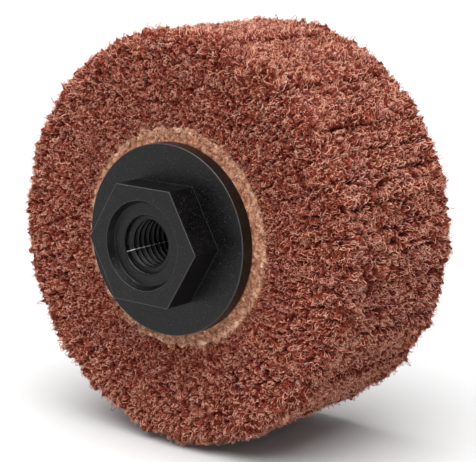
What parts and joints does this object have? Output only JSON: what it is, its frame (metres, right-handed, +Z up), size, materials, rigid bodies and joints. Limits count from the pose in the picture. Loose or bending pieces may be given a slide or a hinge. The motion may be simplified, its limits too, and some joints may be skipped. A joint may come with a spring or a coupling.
{
  "type": "nonwoven flap drum",
  "caption": "Grinding and satin-finishing drum of radial nonwoven abrasive flaps on a black moulded hub with a hexagon and an internal spindle thread.",
  "frame": {"origin": "on the spin axis, where the full spindle thread of the hub begins", "axes": "+Y along the spin axis from the machine side to the far side, +Z up, +X to the right as seen from the machine side"},
  "size_m": [0.1048, 0.0673, 0.1061],
  "materials": {
    "nylon": "satin",
    "fleece": "matte",
    "adhesive": "matte",
    "paper": "matte"
  },
  "bodies": {
    "root": {"front_hub": "nylon", "rear_cap": "nylon", "core_tube": "paper", "adhesive_bed": "adhesive", "flap_01": "fleece", "flap_02": "fleece", "flap_03": "fleece", "flap_04": "fleece", "flap_05": "fleece", "flap_06": "fleece", "flap_07": "fleece", "flap_08": "fleece", "flap_09": "fleece", "flap_10": "fleece", "flap_11": "fleece", "flap_12": "fleece", "flap_13": "fleece", "flap_14": "fleece", "flap_15": "fleece", "flap_16": "fleece", "flap_17": "fleece", "flap_18": "fleece", "flap_19": "fleece", "flap_20": "fleece", "flap_21": "fleece", "flap_22": "fleece", "flap_23": "fleece", "flap_24": "fleece", "flap_25": "fleece", "flap_26": "fleece", "flap_27": "fleece", "flap_28": "fleece", "flap_29": "fleece", "flap_30": "fleece", "flap_31": "fleece", "flap_32": "fleece", "flap_33": "fleece", "flap_34": "fleece", "flap_35": "fleece", "flap_36": "fleece", "flap_37": "fleece", "flap_38": "fleece", "flap_39": "fleece", "flap_40": "fleece", "flap_41": "fleece", "flap_42": "fleece", "flap_43": "fleece", "flap_44": "fleece", "flap_45": "fleece", "flap_46": "fleece", "flap_47": "fleece", "flap_48": "fleece"}
  },
  "joints": []
}
